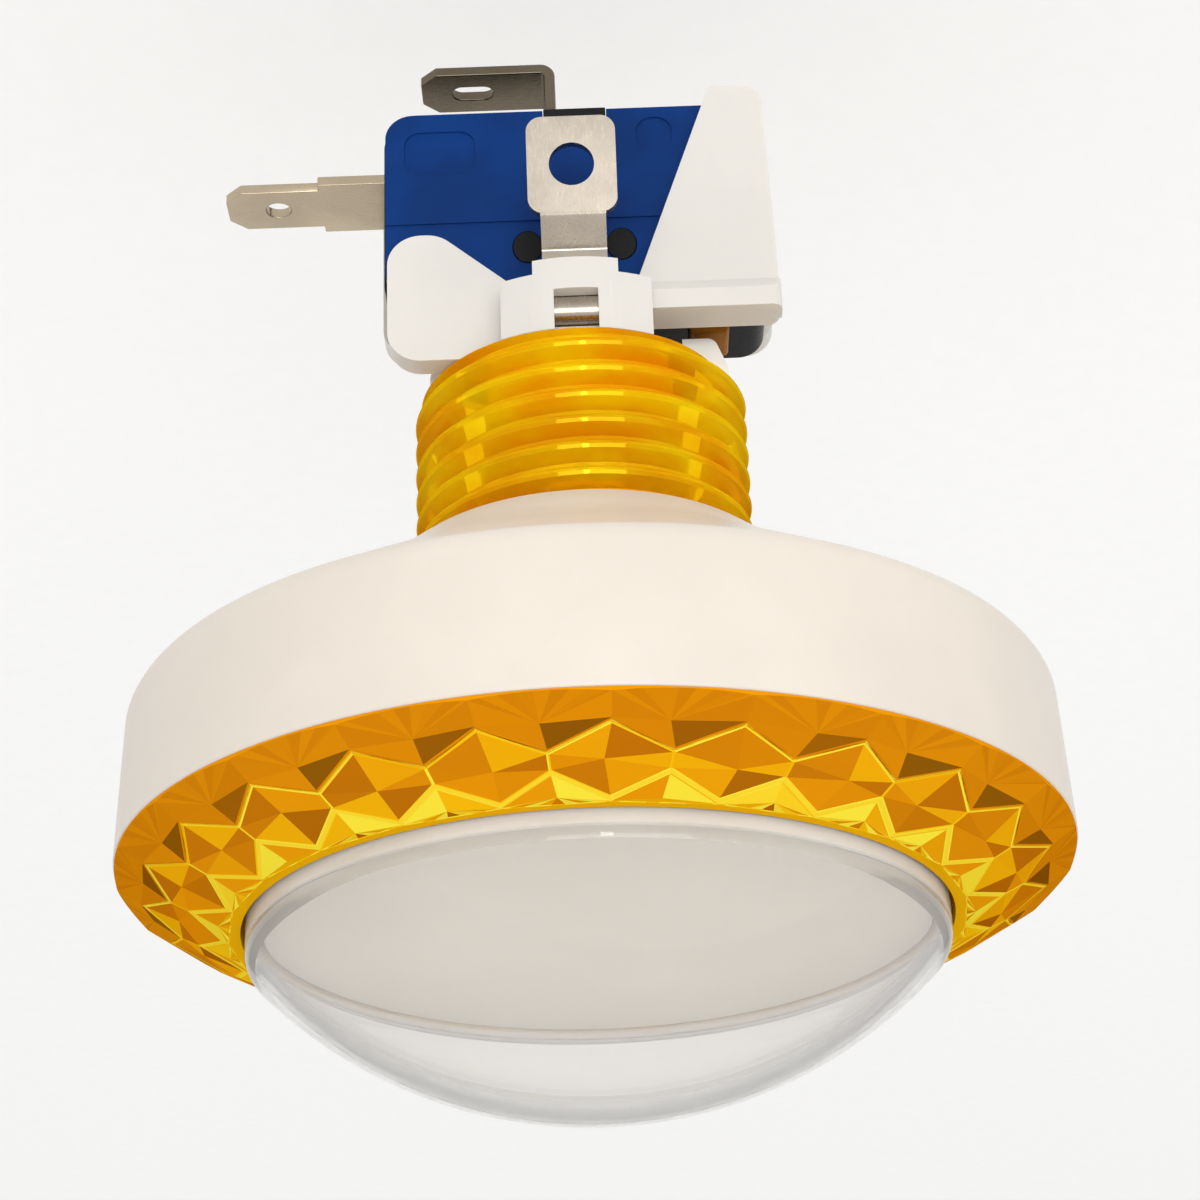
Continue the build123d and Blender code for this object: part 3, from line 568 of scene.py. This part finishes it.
def cut_gems(bm, seat, top, relief_height):
    """Cuts edges and slivers into each facet of the crown and gives every face a painted tone: painted glints on
    the ridges and borders, painted shadow on slivers along the zigzag, and painted reflections that differ from
    sliver to sliver.
    """
    painted_sparkle_layer = bm.faces.layers.float.new("tone")
    for face in bm.faces:
        face[painted_sparkle_layer] = 0.55
    facets = [
        face for face in bm.faces
        if face.calc_center_median().z > seat + 0.05 * MM and 0.2 < face.normal.z < 0.98
    ]
    wide = [face for face in facets if face.calc_area() > 0.6 * MM * MM]
    # Painted glint: every facet starts bright, so the rounded ridges between facets keep a bright tone.
    for face in facets:
        face[painted_sparkle_layer] = 0.92
    for number, face in enumerate(wide):
        slope = face.normal.angle(Z_AXIS)
        middle = face.calc_center_median()
        across = Z_AXIS.cross(middle).normalized()
        # Per row: base tone of the slivers, tone of the painted shadow slivers, swing of their painted
        # reflections, width of the painted bright border, lift and inward shift of the pyramid's point; the
        # flatter star row is painted brightest.
        if slope > GIRDLE_LEAN:
            base, dark, swing, edge, lift, inward = 0.44, 0.1, 0.04, 0.0, 0.0, 0.38
        elif slope > KITE_LEAN:
            base, dark, swing, edge, lift, inward = 0.5, 0.4, 0.19, 0.1 * MM, 0.6 * relief_height, 0.0
        else:
            base, dark, swing, edge, lift, inward = 0.8, 0.5, 0.24, 0.08 * MM, relief_height, 0.0
        # Painted glint: a bright border strip round the facet, its tone swinging from strip to strip.
        if edge:
            frames = bmesh.ops.inset_individual(bm, faces=[face], thickness=edge, use_even_offset=True)
            for turn, strip in enumerate(frames["faces"]):
                strip[painted_sparkle_layer] = 0.9 + 0.2 * sin(2.1 * turn + 3.7 * number)
        flat = face.normal.copy()
        shift = across * 0.22 * sin(3.1 * number)
        shift += middle.normalized() * (0.22 * cos(4.3 * number) if edge else -inward)
        shift = (shift - flat * shift.dot(flat)) * sqrt(face.calc_area())
        fan = bmesh.ops.poke(bm, faces=[face], offset=lift, center_mode="MEAN_WEIGHTED")
        bmesh.ops.translate(bm, verts=fan["verts"], vec=shift)
        # Painted shadow on the slivers along the zigzag on one side; painted reflections of swinging tone on the
        # others.
        for turn, sliver in enumerate(fan["faces"]):
            foot = [vert.co for vert in sliver.verts if vert not in fan["verts"]]
            aside = (foot[0] + foot[1]) / 2 - middle
            along_zigzag = aside.dot(middle.normalized()) < -abs(aside.dot(across)) / 3
            start = dark if along_zigzag and aside.dot(across) < 0 else base
            sliver[painted_sparkle_layer] = start + swing * sin(2.4 * turn + 5.9 * number)
    for face in bm.faces:
        if face.normal.z > 0.98 and face.calc_center_median().z > top - 0.05 * MM:
            face[painted_sparkle_layer] = 0.72


def threaded_wall(bezel, crest, low, high):
    """The thread's outer surface between two heights, by a screw spin of one turn of its profile."""
    root = crest - bezel.thread_depth
    pitch = bezel.thread_pitch
    foot = 0.425 * pitch
    flat = 0.125 * pitch
    bm = bmesh.new()
    start = low - pitch
    outline = (
        (root, -foot), (root + 0.62 * (crest - root), -flat - 0.12 * pitch), (crest - 0.0001, -flat),
        (crest, 0.0), (crest - 0.0001, flat), (root + 0.62 * (crest - root), flat + 0.12 * pitch),
        (root, foot), (root, pitch - foot),
    )
    ring = [bm.verts.new((radius, 0.0, start + height)) for radius, height in outline]
    for one, other in zip(ring, ring[1:]):
        bm.edges.new((one, other))
    turns = int((high - low) / pitch) + 3
    steps = 96
    bmesh.ops.spin(
        bm, geom=bm.verts[:] + bm.edges[:], cent=(0, 0, 0), axis=Z_AXIS, dvec=(0, 0, pitch / steps),
        angle=2 * pi * turns, steps=steps * turns, use_merge=False,
    )
    bmesh.ops.remove_doubles(bm, verts=bm.verts[:], dist=1e-6)
    for height, outer in ((low, False), (high, True)):
        bmesh.ops.bisect_plane(
            bm, geom=bm.verts[:] + bm.edges[:] + bm.faces[:], dist=1e-8, plane_co=(0, 0, height),
            plane_no=(0, 0, 1), clear_outer=outer, clear_inner=not outer,
        )
    for vert in bm.verts:
        limit = crest - 0.8 * MM + (vert.co.z - low)
        radius = sqrt(vert.co.x**2 + vert.co.y**2)
        if radius > limit:
            vert.co.x *= limit / radius
            vert.co.y *= limit / radius
    return bm


class PUSHBUTTON_OT_bezel(Operator):
    """Amber bezel: spun body, three rows of cut facets and a threaded barrel in one moulding"""

    bl_idname = "push_button.bezel"
    bl_label = "Amber bezel"

    def execute(self, context):
        bezel = settings().bezel
        outer = BEZEL_HIGH.x
        seat = CUP_HIGH.z
        low = BEZEL_LOW.z
        top = BEZEL_HIGH.z
        cavity = DOME_HIGH.x + 0.3 * MM
        inner = cavity + 1.1 * MM
        crest = 11.9 * MM
        bore = 9.7 * MM
        points = (
            (bore, low), (bore, 13.5 * MM), (cavity, 13.5 * MM), (cavity, top), (inner, top),
            (inner, top + 0.7 * MM), (outer, seat + 1.35 * MM), (outer, seat),
            (29.1 * MM, seat), (29.1 * MM, seat - 1.9 * MM), (27.8 * MM, seat - 1.9 * MM), (27.8 * MM, seat),
            (25.4 * MM, seat), (25.4 * MM, 11.5 * MM), (crest + 0.05 * MM, 11.5 * MM), (crest + 0.05 * MM, 0),
        )
        bm = bmesh.new()
        chain = [bm.verts.new((radius, 0.0, height)) for radius, height in points]
        for one, other in zip(chain, chain[1:]):
            bm.edges.new((one, other))
        bmesh.ops.spin(
            bm, geom=bm.verts[:] + bm.edges[:], cent=(0, 0, 0), axis=Z_AXIS, dvec=(0, 0, 0),
            angle=2 * pi, steps=bezel.facets * 8, use_merge=True,
        )
        bmesh.ops.remove_doubles(bm, verts=bm.verts[:], dist=1e-7)
        for point, normal in crown_planes(bezel, outer, inner, seat):
            cut = bmesh.ops.bisect_plane(
                bm, geom=bm.verts[:] + bm.edges[:] + bm.faces[:], dist=1e-8, plane_co=point,
                plane_no=normal, clear_outer=True,
            )
            rim = [item for item in cut["geom_cut"] if isinstance(item, bmesh.types.BMEdge)]
            open_rim = [edge for edge in rim if len(edge.link_faces) == 1]
            if open_rim:
                bmesh.ops.edgeloop_fill(bm, edges=open_rim)
        thread = threaded_wall(bezel, crest, low, 0.0)
        wall = bpy.data.meshes.new("thread_wall")
        thread.to_mesh(wall)
        thread.free()
        bm.from_mesh(wall)
        bpy.data.meshes.remove(wall)
        for height in (low, 0.0):
            rims = [
                edge for edge in bm.edges
                if edge.is_boundary and all(abs(vert.co.z - height) < 1e-6 for vert in edge.verts)
            ]
            bmesh.ops.triangle_fill(bm, use_beauty=True, edges=rims, normal=Z_AXIS)
        close_mesh(bm)
        ridges = [
            edge for edge in bm.edges
            if len(edge.link_faces) == 2
            and all(seat + 0.05 * MM < vert.co.z for vert in edge.verts)
            and all(0.5 < face.normal.z < 0.98 for face in edge.link_faces)
            and abs(edge.link_faces[0].normal.z - edge.link_faces[1].normal.z) > 0.02
        ]
        bmesh.ops.bevel(
            bm, geom=ridges, offset=bezel.edge_radius, offset_type="OFFSET", segments=2, profile=0.5,
            affect="EDGES", material=-1, clamp_overlap=True,
        )
        cut_gems(bm, seat, top, bezel.gem_relief)
        piece = new_piece("bezel_body.amber", bm, amber_barrel(), "base", "bezel_body")
        piece.data.materials.append(amber_crown())
        piece.data.materials.append(amber_bore())
        for face in piece.data.polygons:
            face.use_smooth = not (face.center.z > seat + 0.05 * MM and 0.2 < face.normal.z < 0.999)
            if face.center.z > seat - 0.05 * MM:
                face.material_index = 1
            elif face.center.xy.length < bore + 0.1 * MM:
                face.material_index = 2
        return {"FINISHED"}


class PUSHBUTTON_OT_cup(Operator):
    """White cup: spun bell with a soft shoulder, a flared collar and a hub"""

    bl_idname = "push_button.cup"
    bl_label = "White cup"

    def execute(self, context):
        cup = settings().cup
        rim = CUP_HIGH.x
        front = CUP_HIGH.z
        points = [
            (12.1 * MM, 0), (13.2 * MM, 0), (18.0 * MM, 3.9 * MM), (rim - 0.5 * MM, 11.8 * MM), (rim, front),
            (rim - 2.7 * MM, front), (rim - 2.7 * MM, 12.9 * MM), (18.0 * MM, 6.1 * MM), (14.2 * MM, 6.1 * MM),
            (14.2 * MM, 11.3 * MM), (12.1 * MM, 11.3 * MM),
        ]
        bm, corners = profile_face(points)
        round_corners(bm, [corners[2]], 2.4 * MM, 12)
        round_corners(bm, [corners[3]], 1.0 * MM, 8)
        round_corners(bm, [corners[1]], 0.25 * MM, 4)
        round_corners(bm, [corners[4], corners[5]], 0.2 * MM, 4)
        turn_profile(bm, 192)
        white = moulded_white("cup_white", cup.colour, cup.gloss, cup.gloss + 0.1, 0.12)
        new_piece("cup.white", bm, white, "base", "cup")
        return {"FINISHED"}


class PUSHBUTTON_OT_cap(Operator):
    """Clear dome with a beaded rim, and the white disc below it"""

    bl_idname = "push_button.cap"
    bl_label = "Dome and disc"

    def execute(self, context):
        cap = settings().cap
        outer = DOME_HIGH.x
        top = DOME_HIGH.z
        low = DOME_LOW.z
        rise = top - cap.rim
        ball = (outer**2 + rise**2) / (2 * rise)
        centre = top - ball
        shell = ball - cap.wall
        inner = outer - cap.wall
        line = cap.rim - 2.0 * cap.rim_radius
        half = cap.groove / 2
        bm = bmesh.new()
        rim = arc_down(bm, ball, centre, asin(outer / ball), 40)
        ceiling = arc_down(bm, shell, centre, asin(inner / shell), 40)
        wall = [rim]
        wall += [
            bm.verts.new((radius, 0.0, height)) for radius, height in (
                (outer, line + half), (outer - half, line), (outer, line - half), (outer, low), (inner, low)
            )
        ]
        wall.append(ceiling)
        for one, other in zip(wall, wall[1:]):
            bm.edges.new((one, other))
        round_corners(bm, [rim], cap.rim_radius, 6)
        turn_profile(bm, 192)
        piece = new_piece("dome_lens.clear", bm, clear_plastic(), "button", "dome_lens")
        piece.data.materials.append(cloudy_plastic())
        for face in piece.data.polygons:
            face.material_index = int(face.center.z < line)

        edge = DISC_HIGH.x
        points = [
            (0.0, DISC_LOW.z), (edge, DISC_LOW.z), (edge, DISC_HIGH.z), (0.0, DISC_HIGH.z),
        ]
        bm, corners = profile_face(points)
        round_corners(bm, [corners[2]], 0.25 * MM, 5)
        turn_profile(bm, 192)
        sheet = moulded_white("legend_sheet", cap.disc_colour, 0.4, 0.55, 0.1)
        new_piece("legend_disc.sheet", bm, sheet, "button", "legend_disc")
        return {"FINISHED"}


class PUSHBUTTON_OT_carrier(Operator):
    """Plunger, return spring and lamp inside the barrel"""

    bl_idname = "push_button.carrier"
    bl_label = "Plunger, spring and lamp"

    def execute(self, context):
        carrier = settings().carrier
        # Painted light: the plunger inside the barrel gets the nylon made 1.4 times lighter, to offset the shade
        # in there.
        nylon = moulded_white("plunger_nylon_painted_light", tone(carrier.nylon, 1.4), 0.35, 0.5, 0.2)
        softened_copy("plunger", "plunger.nylon", nylon, "button", 0.2 * MM)

        wire = carrier.wire / 2
        radius = SPRING_HIGH.x - wire
        steps = 64
        bm = bmesh.new()
        bmesh.ops.create_circle(
            bm, cap_ends=True, segments=12, radius=wire,
            matrix=Matrix.Translation((radius, 0, SPRING_LOW.z + wire)) @ Matrix.Rotation(pi / 2, 4, "X"),
        )
        rise = SPRING_HIGH.z - SPRING_LOW.z - carrier.wire
        bmesh.ops.spin(
            bm, geom=bm.verts[:] + bm.edges[:] + bm.faces[:], cent=(0, 0, 0), axis=Z_AXIS,
            dvec=(0, 0, rise / (steps * carrier.turns)), angle=2 * pi * carrier.turns,
            steps=steps * carrier.turns, use_merge=False,
        )
        close_mesh(bm)
        steel = plated_metal("spring_steel", (0.55, 0.55, 0.56), (1, 1, 6))
        coil = new_piece("return_spring.wire", bm, steel, "base", "return_spring")
        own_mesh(coil)

        softened_copy("lamp", "lamp.glass", lamp_glass(), "base", 0.3 * MM, 3)
        return {"FINISHED"}


class PUSHBUTTON_OT_holder(Operator):
    """Lamp holder with rounded moulded edges"""

    bl_idname = "push_button.holder"
    bl_label = "Lamp holder"

    def execute(self, context):
        carrier = settings().carrier
        nylon = moulded_white("holder_nylon", carrier.nylon, 0.36, 0.5, 0.25)
        piece = softened_copy(
            "lamp_holder", "lamp_holder.nylon", nylon, "base", carrier.edge, 3
        )
        # Painted light: the part of the holder inside the barrel gets the nylon made 1.4 times lighter, to
        # offset the shade in there.
        piece.data.materials.append(moulded_white("plug_nylon_painted_light", tone(carrier.nylon, 1.4), 0.36, 0.5, 0.25))
        for face in piece.data.polygons:
            face.material_index = int(face.center.z > BEZEL_LOW.z)
        return {"FINISHED"}


class PUSHBUTTON_OT_tabs(Operator):
    """Plated lamp strips and switch terminals"""

    bl_idname = "push_button.tabs"
    bl_label = "Metal tabs"

    def execute(self, context):
        plate = settings().switch.plate
        upright = plated_metal("plated_strip", plate, (8, 8, 1))
        along = plated_metal("plated_tab", settings().switch.aged_plate, (1, 8, 8))
        for node in ("lamp_terminal_front", "lamp_terminal_rear"):
            softened_copy(node, node + ".strip", upright, "base", 0.12 * MM)
        # Painted shade: the common tab's plating is a copy made 0.3 times as bright, standing in for the dark
        # reflections it shows.
        painted_shade_plating = plated_metal("plated_common_painted_shade", tone(settings().switch.aged_plate, 0.3), (1, 8, 8))
        softened_copy("no_terminal", "no_terminal.tab", along, "base", 0.12 * MM)
        softened_copy("com_terminal", "com_terminal.tab", painted_shade_plating, "base", 0.12 * MM)
        silver = plated_metal("contact_silver", (0.8, 0.79, 0.77), (1, 1, 1))
        copper = plated_metal("blade_copper", (0.78, 0.5, 0.26), (1, 8, 8))
        softened_copy("fixed_contact", "fixed_contact.rivet", silver, "base", 0.15 * MM)
        softened_copy("moving_contact", "moving_contact.rivet", silver, "blade", 0.15 * MM)
        softened_copy("switch_blade", "switch_blade.arm", copper, "blade", 0.04 * MM)
        return {"FINISHED"}


class PUSHBUTTON_OT_switch(Operator):
    """Switch case, cover and pin"""

    bl_idname = "push_button.switch"
    bl_label = "Miniature switch"

    def execute(self, context):
        switch = settings().switch
        black = moulded_dark("case_black", switch.black, 0.32, 0.5, 0.1)
        blue = moulded_dark("cover_blue", switch.blue, 0.34, 0.5, 0.12)
        brown = moulded_dark("pin_brown", switch.brown, 0.3, 0.45, 0.08)
        softened_copy("switch_case", "switch_case.black", black, "base", switch.edge)
        softened_copy("switch_cover", "switch_cover.blue", blue, "base", switch.edge)
        softened_copy("switch_pin", "switch_pin.brown", brown, "pin", 0.2 * MM)
        return {"FINISHED"}


def area_light(name, place, target, size, power, colour):
    """A rectangular softbox that faces a point."""
    lamp = bpy.data.lights.new(name, "AREA")
    lamp.shape = "RECTANGLE"
    lamp.size, lamp.size_y = size
    lamp.energy = power
    lamp.color = colour
    light = bpy.data.objects.new(name, lamp)
    light.location = place
    aim = Vector(target) - Vector(place)
    light.rotation_euler = aim.to_track_quat("-Z", "Y").to_euler()
    bpy.context.scene.collection.objects.link(light)
    return light


def floor_paper():
    """White paper with a faint fibre."""
    material, tree, shader, place, output = nodes_of("floor_paper")
    fibre = noise(tree, place, 400.0, 4.0)
    tree.links.new(shade(tree, fibre, (0.945, 0.945, 0.942), (0.955, 0.955, 0.952)), shader.inputs["Base Color"])
    shader.inputs["Roughness"].default_value = 0.9
    shader.inputs["Specular IOR Level"].default_value = 0.1
    return material


def studio_world(stage):
    """Even light from a wide ring of sky, dark straight above."""
    world = bpy.data.worlds.new("studio")
    world.use_nodes = True
    tree = world.node_tree
    background = tree.nodes["Background"]
    background.inputs["Strength"].default_value = stage.sky
    place = tree.nodes.new("ShaderNodeTexCoord")
    split = tree.nodes.new("ShaderNodeSeparateXYZ")
    ring = tree.nodes.new("ShaderNodeValToRGB")
    stops = ((0.0, 0.4), (0.45, 0.8), (0.84, 1.0), (1.0, 0.85))
    for position, light in stops[1:-1]:
        ring.color_ramp.elements.new(position)
    for element, (position, light) in zip(ring.color_ramp.elements, stops):
        element.position = position
        element.color = (light, light * 0.997, light * 0.99, 1)
    tree.links.new(place.outputs["Generated"], split.inputs["Vector"])
    tree.links.new(split.outputs["Z"], ring.inputs["Fac"])
    tree.links.new(ring.outputs["Color"], background.inputs["Color"])
    return world


class PUSHBUTTON_OT_stage(Operator):
    """Floor, soft lights and the camera"""

    bl_idname = "push_button.stage"
    bl_label = "Stage"

    def execute(self, context):
        stage = settings().stage
        scene = context.scene
        sight = Vector((0, cos(stage.elevation), -sin(stage.elevation)))
        level = Vector((0, sin(stage.elevation), cos(stage.elevation)))
        up = Vector((sin(stage.roll), 0, 0)) - level * cos(stage.roll)
        right = sight.cross(up)
        spot = Vector(stage.target) - sight * stage.distance
        camera = bpy.data.cameras.new("photo_camera")
        camera.lens = stage.lens
        camera.sensor_width = 36.0
        camera.clip_start = 0.01
        camera.clip_end = 20.0
        eye = bpy.data.objects.new("photo_camera", camera)
        turn = Matrix((right, up, -sight)).transposed()
        eye.matrix_world = Matrix.Translation(spot) @ turn.to_4x4()
        scene.collection.objects.link(eye)
        scene.camera = eye

        bm = bmesh.new()
        bmesh.ops.create_grid(
            bm, x_segments=8, y_segments=8, size=3.0,
            matrix=Matrix.Translation((0, 0, cad_low[2] - stage.floor_gap)),
        )
        mesh = bpy.data.meshes.new("floor")
        bm.to_mesh(mesh)
        bm.free()
        mesh.materials.append(floor_paper())
        floor = bpy.data.objects.new("floor", mesh)
        scene.collection.objects.link(floor)

        scene.world = studio_world(stage)

        centre = Vector((0, 0, 5 * MM))
        key_place = centre + Vector((-0.1, -0.75, 0.14))
        area_light("key_softbox", key_place, centre, (0.6, 0.3), stage.key, (1.0, 0.99, 0.97))
        strip_place = centre + Vector((-0.03, -0.45, 0.02))
        area_light("strip_softbox", strip_place, centre, (0.03, 0.2), stage.strip, (1.0, 1.0, 1.0))
        scene.view_settings.view_transform = "Standard"
        return {"FINISHED"}


class PushButtonSettings(PropertyGroup):
    """Settings of the whole button."""

    bezel: PointerProperty(type=BezelSettings)
    cup: PointerProperty(type=CupSettings)
    cap: PointerProperty(type=CapSettings)
    carrier: PointerProperty(type=CarrierSettings)
    switch: PointerProperty(type=SwitchSettings)
    stage: PointerProperty(type=StageSettings)


OPERATORS = (
    PUSHBUTTON_OT_bezel,
    PUSHBUTTON_OT_cup,
    PUSHBUTTON_OT_cap,
    PUSHBUTTON_OT_carrier,
    PUSHBUTTON_OT_holder,
    PUSHBUTTON_OT_tabs,
    PUSHBUTTON_OT_switch,
    PUSHBUTTON_OT_stage,
)


class VIEW3D_PT_push_button(Panel):
    """Lists the pieces and their settings."""

    bl_label = "Push Button"
    bl_idname = "VIEW3D_PT_push_button"
    bl_space_type = "VIEW_3D"
    bl_region_type = "UI"
    bl_category = "Push Button"

    def draw(self, context):
        column = self.layout.column(align=True)
        for operator in OPERATORS:
            column.operator(operator.bl_idname)
        for group in ("bezel", "cup", "cap", "carrier", "switch", "stage"):
            box = self.layout.box()
            box.label(text=group.capitalize())
            owner = getattr(context.scene.push_button, group)
            for name in owner.__annotations__:
                box.prop(owner, name)


CLASSES = (
    BezelSettings,
    CupSettings,
    CapSettings,
    CarrierSettings,
    SwitchSettings,
    StageSettings,
    PushButtonSettings,
    *OPERATORS,
    VIEW3D_PT_push_button,
)


def register():
    """Registers the classes and the scene's settings."""
    for cls in CLASSES:
        bpy.utils.register_class(cls)
    bpy.types.Scene.push_button = PointerProperty(type=PushButtonSettings)


def unregister():
    """Removes the scene's settings and the classes."""
    del bpy.types.Scene.push_button
    for cls in reversed(CLASSES):
        bpy.utils.unregister_class(cls)


def main():
    """Builds every piece and the stage."""
    register()
    bpy.ops.push_button.bezel()
    bpy.ops.push_button.cup()
    bpy.ops.push_button.cap()
    bpy.ops.push_button.carrier()
    bpy.ops.push_button.holder()
    bpy.ops.push_button.tabs()
    bpy.ops.push_button.switch()
    bpy.ops.push_button.stage()


if __name__ == "__main__":
    main()
